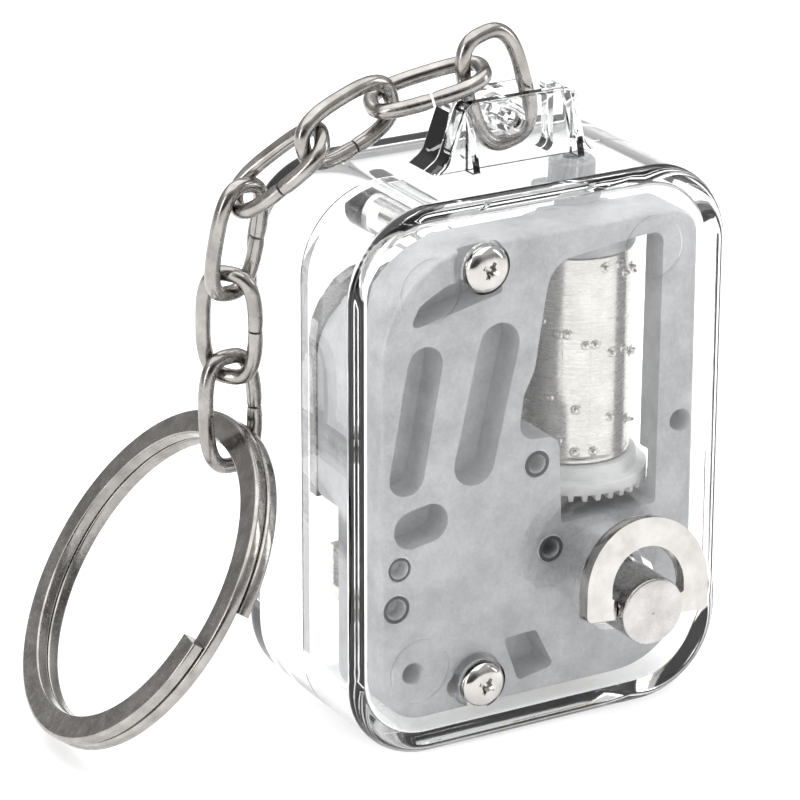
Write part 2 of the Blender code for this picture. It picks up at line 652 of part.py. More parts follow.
def make_worm(mats):
    """Endless screw with its two-bladed air brake."""
    def core(bm):
        cylinder(bm, (0, 0, (WORM_Z0 + WORM_Z1) / 2), "Z", 0.5, WORM_Z1 - WORM_Z0, 16)

    def blades(bm):
        box(bm, -2.1, 2.1, -0.2, 0.2, 13.6, 15.6)

    obj = add("endless_screw", mesh_of(core), mats["steel"])
    boolean(obj, lambda bm: thread(bm, 0.42, 0.98, THREAD_Z0, THREAD_Z1, PITCH), "UNION")
    on_axis([obj] + [m.object for m in obj.modifiers], (WORM_X, WHEEL_Y, 0))
    fan = add("air_brake_fan", mesh_of(blades), mats["nylon"])
    boolean(fan, lambda bm: cylinder(bm, (0, 0, 14.6), "Z", 1.0, 2.2, 16), "UNION")
    boolean(fan, lambda bm: cylinder(bm, (0, 0, 14.6), "Z", 0.5 + FIT, 6, 12))
    on_axis([fan] + [m.object for m in fan.modifiers], (WORM_X, WHEEL_Y, 0))


def make_governor_frame(mats):
    """Bracket that holds both ends of the endless screw and the outer end of the wheel's axle."""
    def base(bm):
        box(bm, -11.8, -5.75, PLATE_BACK + FIT, -2.1, 3.4, 17.4)

    def walls(bm):
        box(bm, -8.3, -5.35, -2.5, 6.7, 6.9, 8.0)
        box(bm, -8.3, -5.0, -2.5, 6.7, 16.5, 17.4)

    def arm(bm):
        box(bm, -8.3, -0.4, 6.05, 6.7, 6.9, 11.2)

    def openings(bm):
        cylinder(bm, (WORM_X, WHEEL_Y, 12.0), "Z", 0.5 + 0.1, 14.0, 12)
        cylinder(bm, (WHEEL_X, 5.0, SHAFT_Z), "Y", 0.4 + 0.1, 4, 12)
        for _, x, z in GOVERNOR_SCREWS:
            cylinder(bm, (x, -2.5, z), "Y", 0.7, 3, 12)

    obj = add("governor_frame", mesh_of(base), mats["zinc"])
    boolean(obj, walls, "UNION")
    boolean(obj, arm, "UNION")
    boolean(obj, openings)
    return obj


def oval(length, width, points=18):
    """Centre line of a link in its own plane: a full oval with slightly bulging sides, long side along X."""
    line = []
    for i in range(points):
        c, s = math.cos(2 * math.pi * (i + 0.5) / points), math.sin(2 * math.pi * (i + 0.5) / points)
        line.append((math.copysign(abs(c) ** OVAL, c) * length / 2, math.copysign(abs(s) ** OVAL, s) * width / 2))
    return line


def make_link(name, start, end, across, width, finish):
    """An oval link whose end wires' centres lie at start and end; across is its width direction."""
    along = (end - start)
    middle = (start + end) / 2
    points = [middle + along.normalized() * u + across * v for u, v in oval(along.length, width)]
    return wire(name, points, WIRE_R, finish)


def across_of(direction, roll):
    """Width direction of a link, turned about its length from the plane that faces front-left."""
    facing = Vector((-0.46, -0.81, 0.36))
    flat = direction.cross(facing).normalized()
    return Matrix.Rotation(math.radians(roll), 3, direction) @ flat


def make_chain(mats):
    """Seven links from the lug, over the case's shoulder and down its side, and the key ring at their end."""
    steel = mats["nickel"]
    tilt = math.radians(FIRST_LINK_TILT)
    up, side = Vector((-math.sin(tilt), 0, math.cos(tilt))), Vector((math.cos(tilt), 0, math.sin(tilt)))
    post = Vector((LUG_X, PARTING_Y, POST_Z))
    foot = post - up * (POST_R + WIRE_R + 0.12)
    make_link("chain_link_1", foot, foot + up * FIRST_LINK_L, side, FIRST_LINK_W, steel)
    shoulder = foot + up * (FIRST_LINK_L - FIRST_LINK_W / 2) - side * (FIRST_LINK_W / 2)
    separation = 2 * WIRE_R + LINK_GAP
    before, end = None, shoulder
    for index, (target, roll) in enumerate(zip(CHAIN_ROUTE, LINK_ROLLS)):
        direction = (Vector(target) - end).normalized()
        pull = direction if before is None else (direction + before).normalized()
        start = end - pull * separation
        end = start + direction * LINK_L
        make_link(f"chain_link_{index + 2}", start, end, across_of(direction, roll), LINK_W, steel)
        before = direction
    make_ring(end - direction * (LINK_W / 2 + 0.45), direction, steel)


def make_ring(crossing, direction, finish):
    """Split ring: two flat coils side by side, one strip of steel from end to end."""
    normal = Vector(RING_NORMAL).normalized()
    outward = (-direction - normal * (-direction).dot(normal)).normalized()
    centre = crossing - outward * RING_R
    third = normal.cross(outward)
    steps, turns, lift = 72, 1.96, RING_AXIAL + 0.05
    c, hr, ha = 0.3, RING_RADIAL / 2, RING_AXIAL / 2
    section = ((-hr, -ha), (hr - c, -ha), (hr, -ha + c), (hr, ha - c), (hr - c, ha), (-hr, ha))

    def strip(bm):
        rings = []
        for i in range(steps + 1):
            angle = 2 * math.pi * turns * i / steps - 1.4
            radial = outward * math.cos(angle) + third * math.sin(angle)
            shift = lift * (turns * i / steps - turns / 2)
            rings.append([bm.verts.new(centre + radial * (RING_R + a) + normal * (shift + b)) for a, b in section])
        for a, b in zip(rings, rings[1:]):
            for j in range(6):
                bm.faces.new((a[j], a[(j + 1) % 6], b[(j + 1) % 6], b[j]))
        bm.faces.new(rings[0])
        bm.faces.new(rings[-1][::-1])

    return add("split_key_ring", mesh_of(strip), finish)


def main():
    start_clean()
    mats = make_materials()
    make_front_shell(mats)
    make_back_shell(mats)
    make_bedplate(mats)
    make_cylinder(mats)
    make_cylinder_gear(mats)
    make_cylinder_cap(mats)
    make_cylinder_axle(mats)
    make_comb(mats)
    make_screws(mats)
    make_winding_shaft(mats)
    make_bail(mats)
    make_barrel(mats)
    make_mainspring(mats)
    make_clutch_spring(mats)
    make_shaft_clip(mats)
    make_governor(mats)
    make_worm(mats)
    make_governor_frame(mats)
    make_chain(mats)


main()
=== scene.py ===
# %% [markdown]
# # A cylinder music box in a clear case, on a key ring
#
# The real object is a wind-up movement: a die-cast zinc bedplate carries a pinned cylinder, a steel comb,
# a spring barrel and an air brake. It sits between two clear moulded shells that two long screws pull
# together. A chain and a split ring hang from a lug at the top.
#
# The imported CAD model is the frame: every piece below goes where that frame says. Lengths are written in
# millimetres and multiplied by MM, because Blender works in metres.

# %% Load the frame
import math

import bmesh
import bpy
from mathutils import Matrix, Vector


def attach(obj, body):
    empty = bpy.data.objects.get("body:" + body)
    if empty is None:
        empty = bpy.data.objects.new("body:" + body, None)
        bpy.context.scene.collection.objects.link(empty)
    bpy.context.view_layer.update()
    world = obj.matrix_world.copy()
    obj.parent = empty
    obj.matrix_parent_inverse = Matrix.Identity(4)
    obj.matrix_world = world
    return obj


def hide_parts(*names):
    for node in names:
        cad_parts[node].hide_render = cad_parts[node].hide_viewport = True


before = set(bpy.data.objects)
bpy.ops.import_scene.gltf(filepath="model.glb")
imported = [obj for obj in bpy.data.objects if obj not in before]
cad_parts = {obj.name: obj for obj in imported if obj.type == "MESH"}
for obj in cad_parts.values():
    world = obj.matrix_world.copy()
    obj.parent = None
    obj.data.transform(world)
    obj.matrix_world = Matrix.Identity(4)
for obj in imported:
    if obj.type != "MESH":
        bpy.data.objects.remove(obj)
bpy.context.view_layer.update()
MM = 0.001
CASE = "music_box_case"


# %% [markdown]
# ## Measures
#
# These sizes are shared with the CAD model. The case stands on z = 0 with its front towards -Y.

# %% Sizes of the case and what it holds
CASE_HALF, CASE_TOP, CASE_R = 15.8, 42.4, 6.6
FRONT_Y, PARTING_Y, BACK_Y, WALL, FIT = -8.8, -1.2, 8.8, 1.4, 0.06
LUG_X, LUG_TOP, POST_Z = 0.9, 47.4, 45.6
PLATE_FRONT, PLATE_BACK, LAND_BACK = -7.3, -3.0, 0.6
CYL_X, CYL_Y, CYL_R, CYL_Z0, CYL_Z1 = 6.7, -1.47, 4.3, 19.15, 35.3
SHAFT_X, SHAFT_Z, SHAFT_R, SHAFT_END_Y = 6.7, 9.9, 2.6, -13.8
CASE_SCREWS = ((-4.9, 37.1), (-4.9, 4.7))
print("case", 2 * CASE_HALF, "x", CASE_TOP, "x", BACK_Y - FRONT_Y, "mm")


# %% [markdown]
# ## Camera
#
# The camera stands in front, to the left and above, a long way off through a long lens, so that upright
# edges stay nearly parallel, as in a catalogue picture.

# %% Camera at the catalogue view
TURN, RISE, ROLL = 0.518470, 0.366380, 0.001953
to_camera = Vector((-math.sin(TURN) * math.cos(RISE), -math.cos(TURN) * math.cos(RISE), math.sin(RISE)))
level_right = Vector((math.cos(TURN), -math.sin(TURN), 0))
level_up = to_camera.cross(level_right)
right = level_right * math.cos(ROLL) + level_up * math.sin(ROLL)
up = to_camera.cross(right)
camera_data = bpy.data.cameras.new("catalogue_camera")
camera_data.lens, camera_data.sensor_width = 194.508, 36
camera_data.clip_start, camera_data.clip_end = 0.01, 20
camera = bpy.data.objects.new("catalogue_camera", camera_data)
eye = Vector((0.4, -7.3, 20.6)) + to_camera * 316.778 - right * 9.982 + up * 4.677
camera.matrix_world = Matrix.Translation(eye * MM) @ Matrix((right, up, to_camera)).transposed().to_4x4()
bpy.context.scene.collection.objects.link(camera)
bpy.context.scene.camera = camera
print("camera at", tuple(round(v, 1) for v in eye), "mm")


# %% [markdown]
# ## Light
#
# Clear plastic shows only what it bends and mirrors, so the studio is a white floor under a pale sky. A
# dark patch on the camera's side gives the metal its contrast and leaves the clear case light.

# %% Floor, sky and lamps
def stage_floor():
    bm = bmesh.new()
    bmesh.ops.create_grid(bm, x_segments=1, y_segments=1, size=3.0)
    bmesh.ops.translate(bm, verts=bm.verts, vec=(0, 0, -0.00004))
    mesh = bpy.data.meshes.new("floor")
    bm.to_mesh(mesh)
    bm.free()
    floor = bpy.data.objects.new("floor", mesh)
    bpy.context.scene.collection.objects.link(floor)
    paper = bpy.data.materials.new("white_paper")
    paper.use_nodes = True
    shader = paper.node_tree.nodes["Principled BSDF"]
    shader.inputs["Base Color"].default_value = (0.88, 0.88, 0.88, 1)
    shader.inputs["Roughness"].default_value = 0.9
    shader.inputs["Emission Color"].default_value = (1, 1, 1, 1)
    shader.inputs["Emission Strength"].default_value = 0.35
    mesh.materials.append(paper)


def studio_sky():
    """Pale all round and overhead, with a dark patch on the side that the camera looks from."""
    world = bpy.data.worlds.new("studio")
    bpy.context.scene.world = world
    world.use_nodes = True
    nodes, links = world.node_tree.nodes, world.node_tree.links
    place = nodes.new("ShaderNodeTexCoord")
    split = nodes.new("ShaderNodeSeparateXYZ")
    ramp = nodes.new("ShaderNodeValToRGB")
    stops = ramp.color_ramp.elements
    stops[0].position, stops[0].color = 0.0, (0.62, 0.62, 0.62, 1)
    stops[1].position, stops[1].color = 1.0, (0.80, 0.80, 0.80, 1)
    for position, grey in ((0.10, 0.50), (0.30, 0.52), (0.48, 0.82)):
        stops.new(position).color = (grey, grey, grey, 1)
    links.new(place.outputs["Generated"], split.inputs[0])
    links.new(split.outputs["Z"], ramp.inputs["Fac"])
    facing = nodes.new("ShaderNodeVectorMath")
    facing.operation = "DOT_PRODUCT"
    facing.inputs[1].default_value = (-0.50, -0.85, 0.10)
    links.new(place.outputs["Generated"], facing.inputs[0])
    patch = nodes.new("ShaderNodeMapRange")
    patch.interpolation_type = "SMOOTHSTEP"
    patch.inputs["From Min"].default_value, patch.inputs["From Max"].default_value = 0.70, 0.97
    links.new(facing.outputs["Value"], patch.inputs["Value"])
    darken = nodes.new("ShaderNodeMix")
    darken.data_type = "RGBA"
    darken.inputs["B"].default_value = (0.07, 0.07, 0.072, 1)
    links.new(patch.outputs["Result"], darken.inputs["Factor"])
    links.new(ramp.outputs["Color"], darken.inputs["A"])
    links.new(darken.outputs["Result"], nodes["Background"].inputs["Color"])
    nodes["Background"].inputs["Strength"].default_value = 0.85


def lamp(name, place, size, power, towards=(0, 0, 22)):
    data = bpy.data.lights.new(name, "AREA")
    data.shape, data.size, data.size_y, data.energy = "RECTANGLE", size[0] * MM, size[1] * MM, power
    made = bpy.data.objects.new(name, data)
    aim = (Vector(place) - Vector(towards)).to_track_quat("Z", "Y")
    made.matrix_world = Matrix.Translation(Vector(place) * MM) @ aim.to_matrix().to_4x4()
    bpy.context.scene.collection.objects.link(made)


stage_floor()
studio_sky()
lamp("softbox_above", (-40, 40, 420), (640, 640), 2.3)
lamp("softbox_left", (-420, -120, 170), (120, 300), 0.45)
lamp("softbox_right", (380, -200, 200), (90, 320), 0.4)
bpy.context.scene.view_settings.view_transform = "Standard"


# %% [markdown]
# ## Finishes
#
# Two effects are shared. *Cast grain* is the cloudy, speckled skin of a die casting. *Handling wear* is
# the fine scratches and smudges that every small metal piece picks up. Each is a node group that reads
# the object's own coordinates in millimetres and puts out masks and a height.

# %% The two shared effects
def new_group(name, inputs, outputs):
    group = bpy.data.node_groups.new(name, "ShaderNodeTree")
    for label, value in inputs.items():
        socket = group.interface.new_socket(label, in_out="INPUT", socket_type="NodeSocketFloat")
        socket.default_value = value
    for label in outputs:
        group.interface.new_socket(label, in_out="OUTPUT", socket_type="NodeSocketFloat")
    start, end = group.nodes.new("NodeGroupInput"), group.nodes.new("NodeGroupOutput")
    place = group.nodes.new("ShaderNodeTexCoord")
    scale = group.nodes.new("ShaderNodeVectorMath")
    scale.operation = "SCALE"
    scale.inputs["Scale"].default_value = 1 / MM
    group.links.new(place.outputs["Object"], scale.inputs[0])
    return group, start, end, scale.outputs[0]


def noise(group, vector, scale, detail=3.0, roughness=0.5, scale_from=None):
    node = group.nodes.new("ShaderNodeTexNoise")
    node.inputs["Scale"].default_value = scale
    node.inputs["Detail"].default_value = detail
    node.inputs["Roughness"].default_value = roughness
    group.links.new(vector, node.inputs["Vector"])
    if scale_from:
        group.links.new(scale_from, node.inputs["Scale"])
    return node.outputs["Fac"]


def math_node(group, operation, *values, clamp=False):
    node = group.nodes.new("ShaderNodeMath")
    node.operation, node.use_clamp = operation, clamp
    for socket, value in zip(node.inputs, values):
        if isinstance(value, (int, float)):
            socket.default_value = value
        else:
            group.links.new(value, socket)
    return node.outputs[0]


def spread(group, value, low, high):
    node = group.nodes.new("ShaderNodeMapRange")
    node.inputs["From Min"].default_value, node.inputs["From Max"].default_value = low, high
    group.links.new(value, node.inputs["Value"])
    return node.outputs["Result"]


def make_cast_grain():
    group, start, end, place = new_group("cast_grain", {"Cloud Scale": 0.35, "Speckle Scale": 5.0},
                                         ("Clouds", "Speckle", "Height"))
    clouds = noise(group, place, 0.35, 6.0, 0.62, start.outputs["Cloud Scale"])
    speckle = noise(group, place, 5.0, 2.0, 0.6, start.outputs["Speckle Scale"])
    flow = noise(group, place, 0.9, 2.0, 0.5)
    group.links.new(spread(group, clouds, 0.36, 0.64), end.inputs["Clouds"])
    group.links.new(spread(group, speckle, 0.35, 0.68), end.inputs["Speckle"])
    height = math_node(group, "ADD", math_node(group, "MULTIPLY", flow, 0.7),
                       math_node(group, "MULTIPLY", speckle, 0.3))
    group.links.new(height, end.inputs["Height"])
    return group


def make_handling_wear():
    inputs = {"Scratch Scale": 1.6, "Along X": 1.0, "Along Y": 1.0, "Along Z": 1.0}
    group, start, end, place = new_group("handling_wear", inputs, ("Scratches", "Smudges", "Height"))
    stretch = group.nodes.new("ShaderNodeCombineXYZ")
    for axis in "XYZ":
        group.links.new(start.outputs["Along " + axis], stretch.inputs[axis])
    stretched = group.nodes.new("ShaderNodeVectorMath")
    stretched.operation = "MULTIPLY"
    group.links.new(place, stretched.inputs[0])
    group.links.new(stretch.outputs[0], stretched.inputs[1])
    lines = noise(group, stretched.outputs[0], 1.6, 4.0, 0.7, start.outputs["Scratch Scale"])
    smudges = noise(group, place, 0.5, 3.0, 0.55)
    group.links.new(spread(group, lines, 0.42, 0.70), end.inputs["Scratches"])
    group.links.new(spread(group, smudges, 0.35, 0.65), end.inputs["Smudges"])
    group.links.new(lines, end.inputs["Height"])
    return group


cast_grain, handling_wear = make_cast_grain(), make_handling_wear()
print("node groups:", cast_grain.name, handling_wear.name)


# %% The finishes
def new_finish(name, metallic=0.0, roughness=0.5, **fixed):
    made = bpy.data.materials.new(name)
    made.use_nodes = True
    shader = made.node_tree.nodes["Principled BSDF"]
    shader.inputs["Metallic"].default_value = metallic
    shader.inputs["Roughness"].default_value = roughness
    for label, value in fixed.items():
        shader.inputs[label.replace("_", " ")].default_value = value
    return made, made.node_tree, shader


def place_group(tree, group, **values):
    node = tree.nodes.new("ShaderNodeGroup")
    node.node_tree = group
    for label, value in values.items():
        node.inputs[label.replace("_", " ")].default_value = value
    return node


def blend_colour(tree, mask, low, high):
    node = tree.nodes.new("ShaderNodeMix")
    node.data_type = "RGBA"
    node.inputs["A"].default_value, node.inputs["B"].default_value = (*low, 1), (*high, 1)
    tree.links.new(mask, node.inputs["Factor"])
    return node.outputs["Result"]


def blend_value(tree, mask, low, high):
    node = tree.nodes.new("ShaderNodeMapRange")
    node.inputs["To Min"].default_value, node.inputs["To Max"].default_value = low, high
    tree.links.new(mask, node.inputs["Value"])
    return node.outputs["Result"]


def bump(tree, height, strength, distance):
    node = tree.nodes.new("ShaderNodeBump")
    node.inputs["Strength"].default_value, node.inputs["Distance"].default_value = strength, distance * MM
    tree.links.new(height, node.inputs["Height"])
    return node.outputs["Normal"]


def metal(name, low, high, smooth, rough, wear, relief=0.25, depth=0.01):
    """A bare or plated metal: smudges vary its colour, and fine scratches its gloss and its normal."""
    made, tree, shader = new_finish(name, metallic=1.0)
    marks = place_group(tree, handling_wear, **wear)
    tree.links.new(blend_colour(tree, marks.outputs["Smudges"], low, high), shader.inputs["Base Color"])
    tree.links.new(blend_value(tree, marks.outputs["Scratches"], smooth, rough), shader.inputs["Roughness"])
    tree.links.new(bump(tree, marks.outputs["Height"], relief, depth), shader.inputs["Normal"])
    return made


def casting(name, low, high, metallic=0.35):
    """Zinc as it leaves the die: cloudy grey, speckled and slightly rippled."""
    made, tree, shader = new_finish(name, metallic=metallic)
    grain = place_group(tree, cast_grain)
    mixed = math_node(tree, "ADD", math_node(tree, "MULTIPLY", grain.outputs["Clouds"], 0.62),
                      math_node(tree, "MULTIPLY", grain.outputs["Speckle"], 0.38))
    tree.links.new(blend_colour(tree, mixed, low, high), shader.inputs["Base Color"])
    tree.links.new(blend_value(tree, grain.outputs["Speckle"], 0.42, 0.60), shader.inputs["Roughness"])
    tree.links.new(bump(tree, grain.outputs["Height"], 0.35, 0.05), shader.inputs["Normal"])
    return made


def moulded(name, low, high, roughness, subsurface=0.0):
    """Plain moulded nylon: a soft, slightly uneven white."""
    made, tree, shader = new_finish(name, roughness=roughness)
    shader.inputs["Subsurface Weight"].default_value = subsurface
    shader.inputs["Subsurface Scale"].default_value = 0.4 * MM
    grain = place_group(tree, cast_grain, Cloud_Scale=0.8, Speckle_Scale=9.0)
    tree.links.new(blend_colour(tree, grain.outputs["Clouds"], low, high), shader.inputs["Base Color"])
    tree.links.new(bump(tree, grain.outputs["Height"], 0.12, 0.02), shader.inputs["Normal"])
    return made


def clear_plastic():
    """Water-clear moulded plastic. Shadow rays pass through, so that the lamps reach the movement."""
    made, tree, shader = new_finish("clear_case_plastic", roughness=0.02)
    shader.inputs["Transmission Weight"].default_value = 1.0
    shader.inputs["IOR"].default_value = 1.49
    shader.inputs["Base Color"].default_value = (0.985, 0.99, 0.99, 1)
    grain = place_group(tree, cast_grain, Cloud_Scale=0.12, Speckle_Scale=0.8)
    tree.links.new(bump(tree, grain.outputs["Clouds"], 0.05, 0.02), shader.inputs["Normal"])
    rays, lets_through = tree.nodes.new("ShaderNodeLightPath"), tree.nodes.new("ShaderNodeBsdfTransparent")
    lets_through.inputs["Color"].default_value = (0.95, 0.955, 0.955, 1)
    mixer = tree.nodes.new("ShaderNodeMixShader")
    tree.links.new(rays.outputs["Is Shadow Ray"], mixer.inputs["Fac"])
    tree.links.new(shader.outputs[0], mixer.inputs[1])
    tree.links.new(lets_through.outputs[0], mixer.inputs[2])
    tree.links.new(mixer.outputs[0], tree.nodes["Material Output"].inputs["Surface"])
    return made


FINISH = {
    "clear_plastic": clear_plastic(),
    "die_cast_zinc": casting("bare_zinc_casting", (0.36, 0.365, 0.38), (0.60, 0.605, 0.62)),
    "nickel_plate": metal("bright_nickel", (0.50, 0.48, 0.455), (0.60, 0.58, 0.555), 0.10, 0.24,
                          dict(Scratch_Scale=2.2), 0.12, 0.008),
    "drawn_steel": metal("drawn_steel_wire", (0.27, 0.255, 0.24), (0.40, 0.38, 0.36), 0.16, 0.34,
                         dict(Scratch_Scale=1.8), 0.2, 0.01),
    "turned_nickel": metal("turned_nickel", (0.44, 0.425, 0.41), (0.56, 0.545, 0.53), 0.20, 0.36,
                           dict(Scratch_Scale=3.0), 0.2, 0.01),
    "satin_nickel": metal("satin_nickel_tube", (0.56, 0.54, 0.51), (0.66, 0.64, 0.61), 0.24, 0.36,
                          dict(Scratch_Scale=1.2, Along_X=0.5, Along_Y=0.5, Along_Z=5.0), 0.07, 0.006),
    "spring_steel": metal("ground_spring_steel", (0.26, 0.26, 0.265), (0.40, 0.395, 0.385), 0.18, 0.38,
                          dict(Scratch_Scale=1.5, Along_X=0.4, Along_Y=4.0, Along_Z=4.0)),
    "brass": metal("cut_brass", (0.58, 0.42, 0.19), (0.72, 0.55, 0.28), 0.20, 0.38,
                   dict(Scratch_Scale=2.0)),
    "white_nylon": moulded("white_nylon_mould", (0.74, 0.745, 0.74), (0.84, 0.845, 0.84), 0.42, 0.15),
}
print("finishes:", ", ".join(FINISH))


# %% [markdown]
# ## Tools for moulded and cast shapes
#
# Nearly every piece of this object is flat stock or turned stock. So there are two starting shapes: a flat
# outline with rounded corners that is extruded, and a half profile that is spun. Holes and bosses are then
# cut or joined on with Booleans that keep each piece one closed body.

# %% Outlines, turnings and Boolean tools
def outline_face(corners, y, segments=10):
    """One face in the XZ plane. Each corner is (x, z, radius)."""
    bm = bmesh.new()
    verts = [bm.verts.new((x * MM, y * MM, z * MM)) for x, z, _ in corners]
    bm.faces.new(verts)
    for i, (x, z, radius) in enumerate(corners):
        if radius:
            before = Vector(corners[i - 1][:2]) - Vector((x, z))
            after = Vector(corners[(i + 1) % len(corners)][:2]) - Vector((x, z))
            reach = radius / math.tan(before.angle(after) / 2)
            bmesh.ops.bevel(bm, geom=[verts[i]], offset=reach * MM, offset_type="OFFSET", affect="VERTICES",
                            segments=segments, profile=0.5, material=-1)
    return bm


def plate(corners, y0, y1, fillet=0.0, segments=10, fillet_steps=4):
    """Flat stock from y0 to y1, with its edge at y1 rounded over."""
    bm = outline_face(corners, y0, segments)
    made = bmesh.ops.extrude_face_region(bm, geom=bm.faces[:])
    moved = {v for v in made["geom"] if isinstance(v, bmesh.types.BMVert)}
    bmesh.ops.translate(bm, verts=list(moved), vec=(0, (y1 - y0) * MM, 0))
    if fillet:
        rim = [e for e in bm.edges if moved.issuperset(e.verts)]
        bmesh.ops.bevel(bm, geom=rim, offset=fillet * MM, offset_type="OFFSET", affect="EDGES",
                        segments=fillet_steps, profile=0.5, material=-1)
    bmesh.ops.recalc_face_normals(bm, faces=bm.faces)
    return bm


UP_TO = {"X": Matrix.Rotation(math.radians(90), 4, "Y"), "Y": Matrix.Rotation(math.radians(-90), 4, "X"),
         "Z": Matrix.Identity(4)}


def turned(profile, place=(0, 0, 0), axis="Z", steps=48, closed=False):
    """A half profile of (radius, height) spun round an axis through place."""
    bm = bmesh.new()
    verts = [bm.verts.new((r * MM, 0, h * MM)) for r, h in profile]
    edges = [bm.edges.new(pair) for pair in zip(verts, verts[1:])]
    if closed:
        edges.append(bm.edges.new((verts[-1], verts[0])))
    bmesh.ops.spin(bm, geom=verts + edges, cent=(0, 0, 0), axis=(0, 0, 1), angle=2 * math.pi, steps=steps,
                   use_merge=True)
    bmesh.ops.remove_doubles(bm, verts=bm.verts, dist=1e-8)
    bmesh.ops.recalc_face_normals(bm, faces=bm.faces)
    bmesh.ops.transform(bm, matrix=Matrix.Translation(Vector(place) * MM) @ UP_TO[axis], verts=bm.verts)
    return bm


def rod(place, axis, radius, length, steps=32, chamfer=0.0):
    """A round bar of that length, centred on place."""
    half = length / 2
    profile = [(0, -half), (radius - chamfer, -half), (radius, -half + chamfer), (radius, half - chamfer),
               (radius - chamfer, half), (0, half)]
    return turned(profile, place, axis, steps)


def block(x0, x1, y0, y1, z0, z1):
    bm = bmesh.new()
    bmesh.ops.create_cube(bm, size=1.0)
    bmesh.ops.scale(bm, vec=((x1 - x0) * MM, (y1 - y0) * MM, (z1 - z0) * MM), verts=bm.verts)
    bmesh.ops.translate(bm, vec=((x0 + x1) * MM / 2, (y0 + y1) * MM / 2, (z0 + z1) * MM / 2), verts=bm.verts)
    return bm


def as_object(bm, name):
    mesh = bpy.data.meshes.new(name)
    bm.to_mesh(mesh)
    bm.free()
    obj = bpy.data.objects.new(name, mesh)
    bpy.context.scene.collection.objects.link(obj)
    return obj


def settle(obj):
    """Makes the result of an object's modifiers its own mesh."""
    bpy.context.view_layer.update()
    graph = bpy.context.evaluated_depsgraph_get()
    mesh = bpy.data.meshes.new_from_object(obj.evaluated_get(graph))
    old = obj.data
    obj.modifiers.clear()
    obj.data = mesh
    bpy.data.meshes.remove(old)


def shape(name, start, *steps):
    """Joins and cuts in turn: each step is ("+", bmesh) or ("-", bmesh)."""
    obj = as_object(start, name)
    for sign, tool_mesh in steps:
        tool = as_object(tool_mesh, "tool")
        change = obj.modifiers.new("change", "BOOLEAN")
        change.operation = "UNION" if sign == "+" else "DIFFERENCE"
        change.solver, change.object = "MANIFOLD", tool
        settle(obj)
        bpy.data.objects.remove(tool)
    return obj


def finish_piece(obj, finish, body, stands_for=(), soft_edge=0.0, smooth=35, steps=2):
    """Gives a piece its finish, eases its edges, hangs it on its body and hides the CAD parts that it stands
    for.
    """
    obj.data.materials.clear()
    obj.data.materials.append(FINISH[finish])
    if soft_edge:
        ease = obj.modifiers.new("eased_edges", "BEVEL")
        ease.width, ease.segments, ease.limit_method = soft_edge * MM, steps, "ANGLE"
        ease.angle_limit = math.radians(32)
        settle(obj)
    obj.data.shade_smooth()
    obj.data.set_sharp_from_angle(angle=math.radians(smooth))
    flatten = obj.modifiers.new("flat_faces_stay_flat", "WEIGHTED_NORMAL")
    flatten.keep_sharp, flatten.mode, flatten.weight = True, "FACE_AREA", 80
    settle(obj)
    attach(obj, body)
    if stands_for:
        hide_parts(*stands_for)
    print(obj.name, len(obj.data.polygons), "faces")
    return obj


print("starting shapes:", plate.__name__, turned.__name__, rod.__name__, block.__name__)


# %% [markdown]
# ## Clear case
#
# Each half is a tray with a 1.4 mm wall and a rounded outer edge, moulded in water-clear plastic. The wall
# is a real one, inside and out, because its two skins are what bend the light. The mould leaves thin
# circles on the face where its ejector pins stood, and ribs brace the lug that carries the chain.

# %% The two shells
POST_R, POST_HOLE_R = 1.2, 0.6
SLOT_HALF, SHAFT_OPENING_R = 0.85, 3.3
SCREW_HOLE_R, COUNTERBORE_R = 0.88, 1.95
EJECTOR_MARKS = ((-9.4, 36.1), (9.3, 36.3), (-10.2, 6.9))


def case_corners(inset):
    half, radius = CASE_HALF - inset, CASE_R - inset
    return [(-half, inset, radius), (half, inset, radius), (half, CASE_TOP - inset, radius),
            (-half, CASE_TOP - inset, radius)]


LUG_CORNERS = [(-6.9, 41.6, 0), (8.7, 41.6, 0), (7.1, 43.1, 1.0), (6.1, LUG_TOP, 1.1), (-3.0, LUG_TOP, 1.1),
               (-4.6, 43.1, 1.2)]


def slot_for_link(y0, y1):
    half, floor, above = 3.6, 42.7, 50
    corners = [(LUG_X - half, floor, 0.6), (LUG_X + half, floor, 0.6), (LUG_X + half, above, 0),
               (LUG_X - half, above, 0)]
    return plate(corners, y0, y1)


def ejector_mark(x, z):
    outer, inner, proud = 2.5, 2.36, 0.035
    profile = [(inner, 0.2), (outer, 0.2), (outer, -proud), (inner, -proud)]
    return turned(profile, (x, FRONT_Y, z), "Y", 72, closed=True)


def gusset(x):
    """A thin rib that tapers upwards, stands on the case's top and braces the lug's front."""
    reach, height, thick = 1.7, 5.0, 0.55
    bm = outline_face([(0, 0, 0), (reach, 0, 0), (0.25, height, 0.3), (0, height, 0)], 0)
    made = bmesh.ops.extrude_face_region(bm, geom=bm.faces[:])
    moved = [v for v in made["geom"] if isinstance(v, bmesh.types.BMVert)]
    bmesh.ops.translate(bm, verts=moved, vec=(0, thick * MM, 0))
    bmesh.ops.recalc_face_normals(bm, faces=bm.faces)
    place = Matrix.Translation(Vector((x + 0.27, -2.4, 42.0)) * MM)
    bmesh.ops.transform(bm, matrix=place @ Matrix.Rotation(math.radians(-90), 4, "Z"), verts=bm.verts)
    return bm


